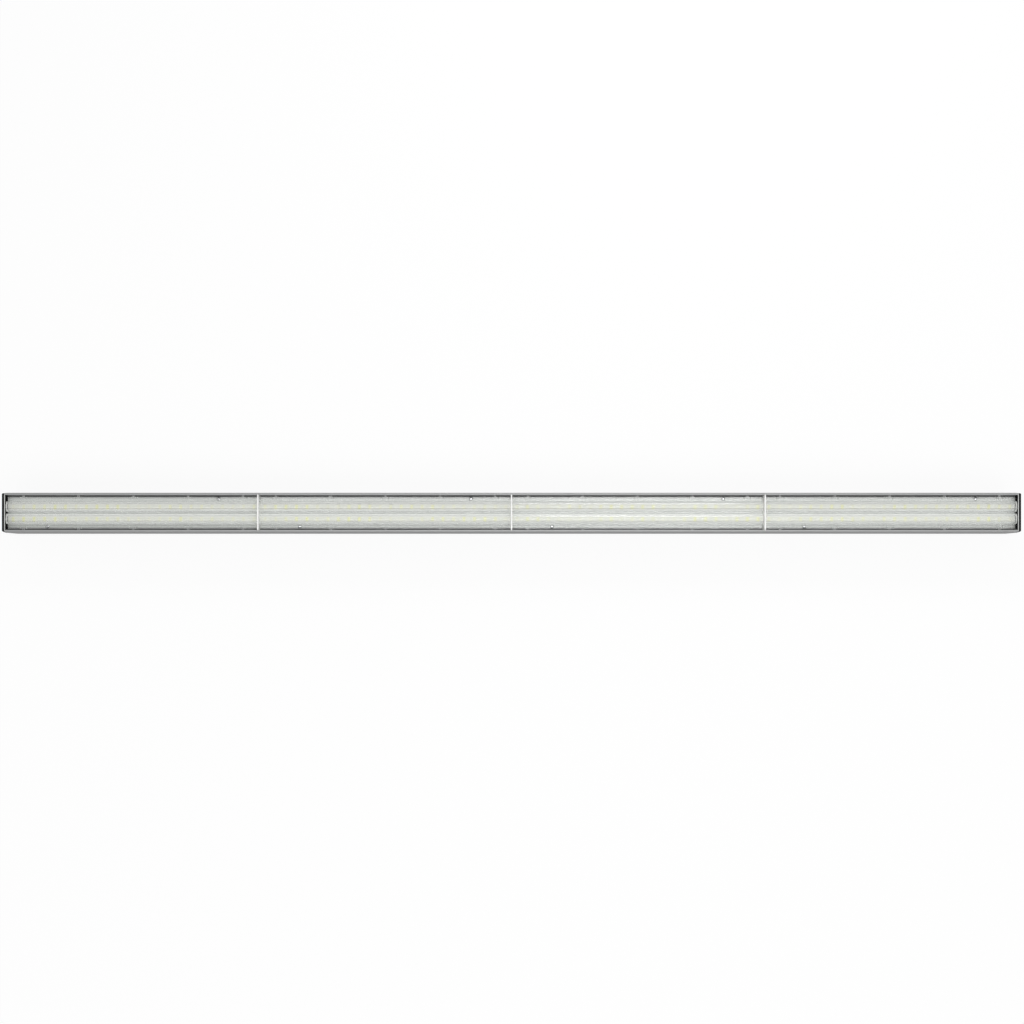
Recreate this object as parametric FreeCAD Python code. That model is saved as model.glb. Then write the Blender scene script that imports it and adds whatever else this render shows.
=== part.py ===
import FreeCAD, Part
import math
import os
from FreeCAD import Vector

# Linear LED luminaire: an aluminium extrusion with four clear twin-row lenses in line and its driver behind.
# X runs along the light, Y across it and Z the way the light goes, with Z = 0 on the flat back. Millimetres.

# Lengths along the light
module_count = 4
lens_length = 296.6
strip_thickness = 1.7
strip_clearance = 0.2
lens_end_gap = 0.25
gasket_thickness = 0.6
cap_thickness = 2.8

# Section of the body
body_width = 47.6
body_depth = 58.0
flare_depth = 19.0
flare_inward = 1.2
back_corner = 4.0
least_corner = 0.6
side_wall = 2.2
back_wall = 2.2
web_thickness = 2.4
optic_depth = 17.0
rim_round = 0.4

# Screw ports in the four corners of the driver channel
port_radius = 1.45
port_wall = 1.75
port_inset = 2.4
port_slit = 1.0

# Rails for the gear tray
rail_height = 9.0
rail_thickness = 1.2
rail_reach = 1.8
tray_thickness = 1.2
tray_clearance = 0.3

# LED boards
board_thickness = 1.6
board_gap = 0.8
board_corner = 1.0
leds_per_row = 24
led_length = 3.5
led_width = 2.8
led_height = 0.7
led_notch = 0.6

# Lens section, heights taken from the face of the board
flange_width = 5.1
bar_groove = 1.2
bar_draft = 0.7
lens_foot_height = 0.5
lens_foot_width = 1.0
lens_plate = 2.2
bar_shoulder_height = 8.6
bar_crown_height = 11.5
cavity_foot_half = 2.5
cavity_draft = 0.3
cavity_shoulder_height = 4.1
cavity_crown_height = 4.2

# Snap tabs along both edges of a lens, and the ribs that hold them
tab_count = 5
tab_pitch = 65.0
tab_width = 6.5
tab_slot = 0.9
tab_root = 3.0
tab_nose_width = 2.0
tab_rib_height = 0.6
hook_lift = 0.3
hook_ramp = 0.7
hook_overlap = 0.7
rib_gap = 1.5
rib_reach = 0.96
rib_clearance = 0.2
rib_thickness = 1.2

# Lens screws
lens_screw_inset = 47.0
lens_screw_edge = 2.7
lens_screw_radius = 1.2
lens_screw_head_radius = 2.1
lens_screw_head_height = 1.6
lens_screw_tail = 0.6
tap_clearance = 0.05
hole_clearance = 0.25

# Rubber seals on the web along both edges of a lens
seal_height = 1.9
seal_clearance = 0.1

# Joint strips between the lenses, with their ends lapped into notches of the rims
strip_recess = 0.2
strip_side_gap = 0.3
strip_lap = 0.6
strip_round = 0.5
strip_seat_depth = 2.0
strip_seat_clearance = 0.2
link_room = 10.0
link_room_height = 1.0

# Straps from board to board and the feed through the web
link_length = 10.0
link_width = 2.0
link_thickness = 0.25
pole_spacing = 4.8
feed_from_joint = 12.0
plug_neck = 8.0
plug_flange = 12.0
plug_drop = 4.0
plug_clearance = 0.2
pin_radius = 0.5
pin_stand = 0.3
pin_inset = 1.0
pin_clearance = 0.05

# Driver on the tray
driver_inset = 220.0
driver_width = 30.0
driver_headroom = 5.2
driver_body_length = 210.0
driver_shelf_length = 18.0
driver_shelf_height = 8.0
driver_ear_length = 8.0
driver_ear_thickness = 2.5
driver_round = 1.2
driver_screw_radius = 1.4
driver_screw_head_radius = 2.75
driver_screw_head_height = 1.8
driver_screw_tail = 1.2
terminal_length = 15.0
terminal_width = 22.0
terminal_height = 11.0
terminal_slope = 3.0
terminal_margin = 1.0
clamp_hole_radius = 1.4
clamp_hole_depth = 3.0
mains_poles = 3
mains_pitch = 6.5
mains_wire_radius = 1.6
wire_hole_depth = 6.0
lead_radius = 0.9
lead_clearance = 0.1
lead_insertion = 4.0
lead_bend_share = 0.8

# End caps, their gaskets, screws and the cable inlet
cap_inset = 0.3
cap_chamfer = 0.8
cap_tab_depth = 6.0
cap_tab_thickness = 1.6
cap_tab_height = 14.0
cap_tab_clearance = 0.3
gasket_inset = 0.5
cap_screw_head_radius = 3.1
cap_screw_head_depth = 1.7
cap_screw_length = 14.0
grommet_bore = 3.5
grommet_neck = 5.4
grommet_flange = 7.2
grommet_flange_depth = 0.8
grommet_inner_depth = 1.6
grommet_clearance = 0.05

# Threaded inserts in the back for hanging or fixing
insert_spacing = 800.0
insert_bore = 2.5
insert_body = 4.4
insert_head = 5.6
insert_head_depth = 0.9
insert_bulge = 6.0
insert_bulge_height = 2.4
insert_height = 8.6
insert_clearance = 0.05

# How far a cutter reaches past what it cuts
over = 1.0

# Places along the light
joint_gap = strip_thickness + 2 * strip_clearance
lens_train = module_count * lens_length + (module_count - 1) * joint_gap
housing_length = lens_train + 2 * lens_end_gap
housing_start = -housing_length / 2
housing_end = housing_length / 2
module_pitch = lens_length + joint_gap
board_pitch = housing_length / module_count
board_length = board_pitch - board_gap
led_pitch = board_length / leds_per_row

# Levels above the back
web_top = body_depth - optic_depth
web_bottom = web_top - web_thickness
board_top = web_top + board_thickness
plate_bottom = board_top + lens_foot_height
plate_top = plate_bottom + lens_plate
rib_bottom = plate_top + rib_clearance
strip_seat = body_depth - strip_seat_depth
strip_top = body_depth - strip_recess
tray_bottom = rail_height + rail_thickness
tray_top = tray_bottom + tray_thickness
rail_top = tray_top + tray_clearance + rail_thickness
inlet_height = (tray_top + web_bottom) / 2
through_web = (web_bottom - over, web_top + over)
through_board = (web_top - over, board_top + over)
through_lens = (board_top - over, plate_top + over)

# Curve of the flaring sides: an arc that leaves the widest point straight and ends at the rim
half_width = body_width / 2
flare_start = body_depth - flare_depth
flare_radius = (flare_depth ** 2 + flare_inward ** 2) / (2 * flare_inward)


def across(y, z):
    """Point of the section at x = 0."""
    return Vector(0, y, z)


def line(start, end):
    """Straight edge between two points."""
    return Part.LineSegment(start, end).toShape()


def arc(start, middle, end):
    """Round edge through three points."""
    return Part.Arc(start, middle, end).toShape()


def polygon(points):
    """Flat face with straight sides."""
    return Part.Face(Part.makePolygon(points + points[:1]))


def rectangle(y_low, z_low, y_high, z_high):
    """Rectangular face of the section."""
    corners = [(y_low, z_low), (y_high, z_low), (y_high, z_high), (y_low, z_high)]
    return polygon([across(y, z) for y, z in corners])


def disc(y, z, radius):
    """Round face of the section."""
    return Part.Face(Part.Wire(Part.makeCircle(radius, across(y, z), Vector(1, 0, 0))))


def run(face, x_start, x_end):
    """Extrude a face of the section from one place along the light to another."""
    moved = face.translated(Vector(x_start, 0, 0))
    return moved.extrude(Vector(x_end - x_start, 0, 0))


def spread(middle, width):
    """Both ends of a width about its middle."""
    return (middle - width / 2, middle + width / 2)


def mirrored(side, inner, outer):
    """Low and high end of a stretch that lies on one side, from its inner to its outer distance."""
    return sorted((side * inner, side * outer))


def block(x_ends, y_ends, z_ends):
    """Rectangular solid between its ends along X, Y and Z."""
    return run(rectangle(y_ends[0], z_ends[0], y_ends[1], z_ends[1]), x_ends[0], x_ends[1])


def upright(x, y, z_ends, radius):
    """Round solid along Z."""
    return Part.makeCylinder(radius, z_ends[1] - z_ends[0], Vector(x, y, z_ends[0]))


def turned(profile, place, direction):
    """Solid of revolution from (radius, height) points, its axis from place along direction."""
    face = polygon([Vector(radius, 0, height) for radius, height in profile])
    solid = face.revolve(Vector(0, 0, 0), Vector(0, 0, 1), 360)
    solid.Placement = FreeCAD.Placement(place, FreeCAD.Rotation(Vector(0, 0, 1), direction))
    return solid


def flare_edge(inset, height):
    """Half width of the flaring side at a height, drawn in by inset."""
    centre = half_width - flare_radius
    return centre + math.sqrt((flare_radius - inset) ** 2 - (height - flare_start) ** 2)


# Places across the light
channel_half = half_width - side_wall
rib_tip = flare_edge(side_wall, rib_bottom) - rib_reach
lens_half = rib_tip - rib_gap
hook_tip = rib_tip + hook_overlap
strip_half = flare_edge(side_wall, body_depth) + strip_lap
bar_foot_half = (lens_half - flange_width - bar_groove / 2) / 2
row_offset = bar_groove / 2 + bar_foot_half
lens_screw_offset = lens_half - lens_screw_edge
port_places = [
    (side * (channel_half - port_inset), height)
    for side in (-1, 1)
    for height in (back_wall + port_inset, web_bottom - port_inset)
]


def body_outline(inset, back, front):
    """Outline of the body with its sides drawn in by inset, from the height back to the height front."""
    half = half_width - inset
    corner = max(back_corner - inset, least_corner)
    bulge = corner * (1 - math.sqrt(0.5))
    middle = (flare_start + front) / 2
    tip = flare_edge(inset, front)
    waist = flare_edge(inset, middle)
    right = [
        across(half - corner, back),
        across(half - bulge, back + bulge),
        across(half, back + corner),
        across(half, flare_start),
        across(waist, middle),
        across(tip, front),
    ]
    left = [across(-point.y, point.z) for point in reversed(right)]
    edges = []
    for low_to_high in (right, left):
        edges.append(arc(*low_to_high[:3]))
        edges.append(line(*low_to_high[2:4]))
        edges.append(arc(*low_to_high[3:]))
    edges.insert(3, line(right[-1], left[0]))
    edges.append(line(left[-1], right[0]))
    return Part.Face(Part.Wire(edges))


def domed(centre, foot_half, foot, draft, shoulder, crown):
    """Face with drafted sides and a round top, as a lens bar and the cavity under it have."""
    left_foot = across(centre - foot_half, foot)
    right_foot = across(centre + foot_half, foot)
    left = across(centre - foot_half + draft, shoulder)
    right = across(centre + foot_half - draft, shoulder)
    top = across(centre, crown)
    sides = [line(left_foot, left), arc(left, top, right), line(right, right_foot)]
    return Part.Face(Part.Wire(sides + [line(right_foot, left_foot)]))


def lens_start(index):
    """Place along the light where a lens begins."""
    return housing_start + lens_end_gap + index * module_pitch


def joint_place(index):
    """Middle of the joint after a lens."""
    return lens_start(index) + lens_length + joint_gap / 2


def board_centre(index):
    """Middle of an LED board along the light."""
    return housing_start + (index + 0.5) * board_pitch


def lens_screw_places(index):
    """Places of the two screws that hold a lens, one near each end on opposite edges."""
    start = lens_start(index)
    return [
        (start + lens_screw_inset, -lens_screw_offset),
        (start + lens_length - lens_screw_inset, lens_screw_offset),
    ]


feed_joint = module_count // 2 - 1
feed_place = joint_place(feed_joint) - feed_from_joint
pole_offsets = [-pole_spacing / 2, pole_spacing / 2]


def housing_body():
    """The extrusion: optic channel, LED web, driver channel, ribs, rails and screw ports."""
    web_half = half_width - side_wall / 2
    solid = [rectangle(-web_half, web_bottom, web_half, web_top)]
    for side in (-1, 1):
        rib_root = side * (flare_edge(side_wall, rib_bottom) + side_wall / 2)
        solid.append(rectangle(side * rib_tip, rib_bottom, rib_root, rib_bottom + rib_thickness))
        for height in (rail_height, rail_top - rail_thickness):
            rail_tip = side * (channel_half - rail_reach)
            solid.append(rectangle(rail_tip, height, side * web_half, height + rail_thickness))
    solid += [disc(y, z, port_radius + port_wall) for y, z in port_places]
    walls = body_outline(0, 0, body_depth).cut(body_outline(side_wall, back_wall, body_depth + over))
    body = run(walls.Faces[0], housing_start, housing_end)
    body = body.fuse([run(face, housing_start, housing_end) for face in solid]).removeSplitter()
    hollow = [disc(y, z, port_radius) for y, z in port_places]
    hollow += [port_slot(y, z) for y, z in port_places]
    return body.cut([run(face, housing_start - over, housing_end + over) for face in hollow])


def port_slot(y, z):
    """Slit that opens a screw port along the diagonal towards the middle of the driver channel."""
    port = across(y, z)
    inward = across(-math.copysign(1, y), math.copysign(1, inlet_height - z)).normalize()
    reach = inward * (port_radius + port_wall + over)
    beside = across(-inward.z, inward.y) * (port_slit / 2)
    return polygon([port - beside, port + beside, port + beside + reach, port - beside + reach])


def housing():
    """The extrusion, with its rims eased and its holes drilled."""
    body = housing_body()
    long_edges = [edge for edge in body.Edges if edge.Length > lens_length]
    rims = [edge for edge in long_edges if edge.BoundBox.ZMin > body_depth - rim_round]
    body = body.makeFillet(rim_round, rims)
    cutters = [insert_seat(x) for x in spread(0, insert_spacing)]
    tap = lens_screw_radius + tap_clearance
    for index in range(module_count):
        cutters += [upright(x, y, through_web, tap) for x, y in lens_screw_places(index)]
    for index in range(module_count - 1):
        notch = spread(0, 2 * (strip_half + strip_seat_clearance))
        cutters.append(block(spread(joint_place(index), joint_gap), notch, (strip_seat, body_depth + over)))
    window = plug_neck + 2 * plug_clearance
    cutters.append(block(spread(feed_place, window), spread(0, window), through_web))
    return body.cut(cutters)


def led_board(index):
    """White LED board with its screw holes, and pin holes where the feed comes up."""
    board = block(spread(board_centre(index), board_length), spread(0, 2 * lens_half), (web_top, board_top))
    corners = [edge for edge in board.Edges if edge.BoundBox.ZLength > board_thickness / 2]
    board = board.makeFillet(board_corner, corners)
    radius = lens_screw_radius + hole_clearance
    holes = [upright(x, y, through_board, radius) for x, y in lens_screw_places(index)]
    if index == feed_joint:
        radius = pin_radius + pin_clearance
        holes += [upright(feed_place, y, through_board, radius) for y in pole_offsets]
    return board.cut(holes)


def led_package(x, y):
    """One LED package with the notched corner that marks its polarity."""
    long_half = led_length / 2
    short_half = led_width / 2
    corners = [
        (-long_half, -short_half),
        (long_half, -short_half),
        (long_half, short_half),
        (led_notch - long_half, short_half),
        (-long_half, short_half - led_notch),
    ]
    face = polygon([Vector(x + along, y + side, board_top) for along, side in corners])
    return face.extrude(Vector(0, 0, led_height))


def led_rows(index):
    """Two rows of LED packages on a board."""
    first = board_centre(index) - (leds_per_row - 1) * led_pitch / 2
    packages = []
    for y in (-row_offset, row_offset):
        packages += [led_package(first + place * led_pitch, y) for place in range(leds_per_row)]
    return Part.makeCompound(packages)


def lens_body(start, end):
    """Length of lens: flange plate on edge feet, two domed bars and a cavity over each LED row."""
    plate = rectangle(-lens_half, plate_bottom, lens_half, plate_top)
    solid = []
    hollow = []
    for side in (-1, 1):
        foot_inner = side * (lens_half - lens_foot_width)
        solid.append(rectangle(foot_inner, board_top, side * lens_half, plate_top))
        centre = side * row_offset
        shoulder = board_top + bar_shoulder_height
        crown = board_top + bar_crown_height
        solid.append(domed(centre, bar_foot_half, plate_bottom, bar_draft, shoulder, crown))
        shoulder = board_top + cavity_shoulder_height
        crown = board_top + cavity_crown_height
        hollow.append(domed(centre, cavity_foot_half, board_top, cavity_draft, shoulder, crown))
    body = run(plate, start, end).fuse([run(face, start, end) for face in solid]).removeSplitter()
    return body.cut([run(face, start - over, end + over) for face in hollow])


def snap_tab(x, side):
    """Hook and stiffening rib of one snap tab."""
    root = lens_half - tab_root / 2
    profile = [
        (root, plate_bottom + hook_lift),
        (lens_half, plate_bottom + hook_lift),
        (hook_tip, plate_bottom + hook_lift + hook_ramp),
        (hook_tip, plate_top),
        (root, plate_top),
    ]
    hook = run(polygon([across(side * y, z) for y, z in profile]), *spread(x, tab_nose_width))
    rib_levels = (plate_bottom + hook_lift, plate_top + tab_rib_height)
    rib = block(spread(x, tab_nose_width), mirrored(side, lens_half - tab_root, lens_half), rib_levels)
    return [hook, rib]


def lens(index):
    """One clear lens with its screw holes and its snap tabs cut free of the flange."""
    start = lens_start(index)
    middle = start + lens_length / 2
    body = lens_body(start, start + lens_length)
    radius = lens_screw_radius + hole_clearance
    cutters = [upright(x, y, through_lens, radius) for x, y in lens_screw_places(index)]
    added = []
    for place in range(tab_count):
        x = middle + (place - (tab_count - 1) / 2) * tab_pitch
        for side in (-1, 1):
            edge = mirrored(side, lens_half - tab_root, lens_half + over)
            for slot in spread(x, tab_width + tab_slot):
                cutters.append(block(spread(slot, tab_slot), edge, through_lens))
            cutters.append(block(spread(x, tab_width), edge, (through_lens[0], plate_bottom + hook_lift)))
            added += snap_tab(x, side)
    return body.cut(cutters).fuse(added).removeSplitter()


def edge_seals(index):
    """The two rubber seals that lie on the web along the edges of a lens."""
    start = lens_start(index)
    top = web_top + seal_height
    outer = flare_edge(side_wall, top) - seal_clearance
    return Part.makeCompound([
        block((start, start + lens_length), mirrored(side, lens_half + seal_clearance, outer), (web_top, top))
        for side in (-1, 1)
    ])


def pan_screw(seat, head, shank_radius, shank_length):
    """Pan-head screw pointing down from its seat, its head given as (radius, height)."""
    radius, height = head
    profile = [
        (0, -shank_length),
        (shank_radius, -shank_length),
        (shank_radius, 0),
        (radius, 0),
        (radius, height / 2),
        (radius - height / 2, height),
        (0, height),
    ]
    return turned(profile, seat, Vector(0, 0, 1))


def lens_screws():
    """The screws of all the lenses."""
    length = plate_top - web_bottom + lens_screw_tail
    head = (lens_screw_head_radius, lens_screw_head_height)
    screws = []
    for index in range(module_count):
        for x, y in lens_screw_places(index):
            screws.append(pan_screw(Vector(x, y, plate_top), head, lens_screw_radius, length))
    return Part.makeCompound(screws)


def joint_strip(index):
    """White strip between two lenses, its ends in the rims and its foot notched over the straps."""
    x = joint_place(index)
    foot = spread(0, 2 * (rib_tip - strip_side_gap))
    strip = block(spread(x, strip_thickness), foot, (board_top, strip_top))
    levels = (strip_seat + strip_seat_clearance, strip_top)
    ends = block(spread(x, strip_thickness), spread(0, 2 * strip_half), levels)
    strip = strip.fuse(ends).removeSplitter()
    long_edges = [edge for edge in strip.Edges if edge.BoundBox.YLength > lens_half]
    strip = strip.makeFillet(strip_round, [edge for edge in long_edges if edge.BoundBox.ZMin > plate_top])
    levels = (board_top - over, board_top + link_room_height)
    return strip.cut(block(spread(x, strip_thickness + 2 * over), spread(0, link_room), levels))


def board_links():
    """Straps that carry both poles from board to board."""
    straps = []
    for index in range(module_count - 1):
        x_ends = spread((board_centre(index) + board_centre(index + 1)) / 2, link_length)
        levels = (board_top, board_top + link_thickness)
        straps += [block(x_ends, spread(y, link_width), levels) for y in pole_offsets]
    return Part.makeCompound(straps)


def feed_plug():
    """Insulating plug that brings both poles up through the web."""
    low = web_bottom - plug_drop
    flange = block(spread(feed_place, plug_flange), spread(0, plug_flange), (low, web_bottom))
    neck = block(spread(feed_place, plug_neck), spread(0, plug_neck), (low, web_top))
    radius = pin_radius + pin_clearance
    holes = [upright(feed_place, y, (low + pin_inset, web_top + over), radius) for y in pole_offsets]
    return flange.fuse(neck).removeSplitter().cut(holes)


def feed_pins():
    """The two pins of the plug, soldered into the board."""
    levels = (web_bottom - plug_drop + pin_inset, board_top + pin_stand)
    return Part.makeCompound([upright(feed_place, y, levels, pin_radius) for y in pole_offsets])


def gear_tray():
    """Strip that slides in the rails and carries the driver."""
    width = 2 * (channel_half - tray_clearance)
    tray = block(spread(0, housing_length), spread(0, width), (tray_bottom, tray_top))
    radius = driver_screw_radius + tap_clearance
    levels = (tray_bottom - over, tray_top + over)
    return tray.cut([upright(x, 0, levels, radius) for x in driver_screw_places])


driver_length = driver_body_length + 2 * (driver_shelf_length + driver_ear_length)
driver_middle = housing_start + driver_inset + driver_length / 2
driver_screw_places = spread(driver_middle, driver_length - driver_ear_length)
driver_top = web_bottom - driver_headroom
shelf_top = tray_top + driver_shelf_height
wire_height = shelf_top + (terminal_height - terminal_slope) / 2


def driver_case():
    """Potted driver with a shelf for a terminal and a fixing ear at each end."""
    sides = spread(0, driver_width)
    body = block(spread(driver_middle, driver_body_length), sides, (tray_top, driver_top))
    rims = [edge for edge in body.Edges if edge.BoundBox.ZMax > shelf_top]
    body = body.makeFillet(driver_round, rims)
    shelf = block(spread(driver_middle, driver_length - 2 * driver_ear_length), sides, (tray_top, shelf_top))
    ears = block(spread(driver_middle, driver_length), sides, (tray_top, tray_top + driver_ear_thickness))
    case = body.fuse([shelf, ears]).removeSplitter()
    radius = driver_screw_radius + hole_clearance
    return case.cut([upright(x, 0, (tray_top - over, shelf_top), radius) for x in driver_screw_places])


def driver_screws():
    """The two screws that hold the driver to its tray."""
    seat = tray_top + driver_ear_thickness
    length = driver_ear_thickness + tray_thickness + driver_screw_tail
    head = (driver_screw_head_radius, driver_screw_head_height)
    return Part.makeCompound([
        pan_screw(Vector(x, 0, seat), head, driver_screw_radius, length) for x in driver_screw_places
    ])


def terminal(inner, outward, offsets, wire_radius):
    """Terminal block on a shelf of the driver, with wire holes in its outer face and clamp holes above."""
    outer = inner + outward * terminal_length
    top = shelf_top + terminal_height
    profile = [
        (inner, shelf_top),
        (outer, shelf_top),
        (outer, top - terminal_slope),
        (outer - outward * terminal_slope, top),
        (inner, top),
    ]
    side = polygon([Vector(x, -terminal_width / 2, z) for x, z in profile])
    body = side.extrude(Vector(0, terminal_width, 0))
    clamp = inner + outward * (terminal_length - terminal_slope) / 2
    holes = []
    for y in offsets:
        mouth = Vector(outer + outward * over, y, wire_height)
        holes.append(Part.makeCylinder(wire_radius, wire_hole_depth + over, mouth, Vector(-outward, 0, 0)))
        holes.append(upright(clamp, y, (top - clamp_hole_depth, top + over), clamp_hole_radius))
    return body.cut(holes)


input_inner, output_inner = spread(driver_middle, driver_body_length + 2 * terminal_margin)


def driver_input_terminal():
    """Mains terminal at the end towards the cable inlet."""
    offsets = [(pole - (mains_poles - 1) / 2) * mains_pitch for pole in range(mains_poles)]
    return terminal(input_inner, -1, offsets, mains_wire_radius)


def driver_output_terminal():
    """Terminal for the two leads to the boards."""
    return terminal(output_inner, 1, pole_offsets, lead_radius + lead_clearance)


def output_leads():
    """Two leads from the driver that turn up to the feed plug."""
    start = output_inner + terminal_length - lead_insertion
    top = web_bottom - plug_drop
    bend = lead_bend_share * (top - wire_height)
    short = bend * (1 - math.sqrt(0.5))
    leads = []
    for y in pole_offsets:
        turn = Vector(feed_place - bend, y, wire_height)
        rise = Vector(feed_place, y, wire_height + bend)
        edges = [
            line(Vector(start, y, wire_height), turn),
            arc(turn, Vector(feed_place - short, y, wire_height + short), rise),
            line(rise, Vector(feed_place, y, top)),
        ]
        mouth = Part.Wire(Part.makeCircle(lead_radius, Vector(start, y, wire_height), Vector(1, 0, 0)))
        leads.append(Part.Wire(edges).makePipeShell([mouth], True, False))
    return Part.makeCompound(leads)


def end_gasket(side):
    """Seal that follows the outline of the body between its end and the cap."""
    ring = body_outline(gasket_inset, gasket_inset, body_depth - gasket_inset)
    ring = ring.cut(body_outline(side_wall, back_wall, body_depth - side_wall))
    seal = run(ring.Faces[0], side * housing_end, side * (housing_end + gasket_thickness))
    radius = port_radius + hole_clearance
    reach = gasket_thickness + 2 * over
    return seal.cut([screw_bore(side, y, z, housing_end - over, reach, radius) for y, z in port_places])


def screw_bore(side, y, z, start, length, radius):
    """Round cutter along the light at one end, from a distance out."""
    return Part.makeCylinder(radius, length, Vector(side * start, y, z), Vector(side, 0, 0))


cap_inner = housing_end + gasket_thickness
cap_outer = cap_inner + cap_thickness


def end_cap(side):
    """Moulded cap with an eased edge, countersunk holes and two tabs that locate in the driver channel."""
    outline = body_outline(cap_inset, cap_inset, body_depth - cap_inset)
    plate = run(outline, side * cap_inner, side * cap_outer)
    rim = [edge for edge in plate.Edges if abs(edge.BoundBox.Center.x) > cap_outer - cap_thickness / 4]
    cap = plate.makeChamfer(cap_chamfer, rim)
    tab_outer = channel_half - cap_tab_clearance
    x_ends = mirrored(side, housing_end - cap_tab_depth, cap_inner + cap_thickness / 2)
    for edge in (-1, 1):
        y_ends = mirrored(edge, tab_outer - cap_tab_thickness, tab_outer)
        cap = cap.fuse(block(x_ends, y_ends, spread(inlet_height, cap_tab_height)))
    reach = cap_thickness + 2 * over
    cutters = []
    for y, z in port_places:
        cutters.append(screw_bore(side, y, z, cap_inner - over, reach, port_radius + hole_clearance))
        cutters.append(countersink(side, y, z, hole_clearance / 2))
    if side < 0:
        neck = grommet_neck + grommet_clearance
        flange = grommet_flange + grommet_clearance
        seat = cap_outer - grommet_flange_depth
        cutters.append(screw_bore(side, 0, inlet_height, cap_inner - over, reach, neck))
        cutters.append(screw_bore(side, 0, inlet_height, seat, reach, flange))
    return cap.removeSplitter().cut(cutters)


def countersink(side, y, z, clearance):
    """Cone for the head of a cap screw, grown by a clearance and open past the face of the cap."""
    slope = (cap_screw_head_radius - port_radius) / cap_screw_head_depth
    profile = [
        (0, over),
        (cap_screw_head_radius + clearance + slope * over, over),
        (port_radius + clearance, -cap_screw_head_depth),
        (0, -cap_screw_head_depth),
    ]
    return turned(profile, Vector(side * cap_outer, y, z), Vector(side, 0, 0))


def end_cap_screws(side):
    """The four countersunk screws of one cap, in the ports of the extrusion."""
    shank = port_radius - tap_clearance
    profile = [
        (0, 0),
        (cap_screw_head_radius, 0),
        (shank, -cap_screw_head_depth),
        (shank, -cap_screw_length),
        (0, -cap_screw_length),
    ]
    return Part.makeCompound([
        turned(profile, Vector(side * cap_outer, y, z), Vector(side, 0, 0)) for y, z in port_places
    ])


def cable_grommet():
    """Flush rubber grommet in the left cap, where the supply cable goes in."""
    neck_end = grommet_flange_depth - cap_thickness
    inner_end = neck_end - grommet_inner_depth
    profile = [
        (grommet_bore, grommet_flange_depth),
        (grommet_flange, grommet_flange_depth),
        (grommet_flange, 0),
        (grommet_neck, 0),
        (grommet_neck, neck_end),
        (grommet_flange, neck_end),
        (grommet_neck, inner_end),
        (grommet_bore, inner_end),
    ]
    seat = Vector(-(cap_outer - grommet_flange_depth), 0, inlet_height)
    return turned(profile, seat, Vector(-1, 0, 0))


def insert_seat(x):
    """Countersunk hole in the back for a threaded insert."""
    body = insert_body + insert_clearance
    head = insert_head + insert_clearance
    profile = [
        (0, -over),
        (head, -over),
        (head, 0),
        (body, insert_head_depth),
        (body, back_wall + over),
        (0, back_wall + over),
    ]
    return turned(profile, Vector(x, 0, 0), Vector(0, 0, 1))


def suspension_inserts():
    """Two threaded inserts set flush in the back, bulged over the inside of the wall."""
    bulge_top = back_wall + insert_bulge_height
    profile = [
        (insert_bore, 0),
        (insert_head, 0),
        (insert_body, insert_head_depth),
        (insert_body, back_wall),
        (insert_bulge, back_wall),
        (insert_bulge, back_wall + insert_bulge_height / 2),
        (insert_body, bulge_top),
        (insert_body, insert_height),
        (insert_bore, insert_height),
    ]
    return Part.makeCompound([
        turned(profile, Vector(x, 0, 0), Vector(0, 0, 1)) for x in spread(0, insert_spacing)
    ])


nodes = {
    "housing": housing(),
    "lens_screws": lens_screws(),
    "board_links": board_links(),
    "feed_plug": feed_plug(),
    "feed_pins": feed_pins(),
    "gear_tray": gear_tray(),
    "driver_case": driver_case(),
    "driver_screws": driver_screws(),
    "driver_input_terminal": driver_input_terminal(),
    "driver_output_terminal": driver_output_terminal(),
    "output_leads": output_leads(),
    "cable_grommet": cable_grommet(),
    "suspension_inserts": suspension_inserts(),
}
for index in range(module_count):
    nodes[f"led_board_{index + 1}"] = led_board(index)
    nodes[f"leds_{index + 1}"] = led_rows(index)
    nodes[f"lens_{index + 1}"] = lens(index)
    nodes[f"edge_seals_{index + 1}"] = edge_seals(index)
for index in range(module_count - 1):
    nodes[f"joint_strip_{index + 1}"] = joint_strip(index)
for name, side in (("left", -1), ("right", 1)):
    nodes[f"end_cap_{name}"] = end_cap(side)
    nodes[f"end_gasket_{name}"] = end_gasket(side)
    nodes[f"end_cap_screws_{name}"] = end_cap_screws(side)

os.makedirs("parts", exist_ok=True)
for name, shape in nodes.items():
    shape.exportStep(f"parts/{name}.step")
    print(f"{name}: {len(shape.Solids)} solids, {shape.Volume:.1f} mm3, valid {shape.isValid()}")
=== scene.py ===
"""Looks of a linear LED luminaire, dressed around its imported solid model.

Lengths are metres in the model's own frame: X along the light, Y across it, Z the way the light goes.
"""

from __future__ import annotations

import logging
import math
from dataclasses import dataclass
from enum import Enum
from typing import Any, Sequence, Union

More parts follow.
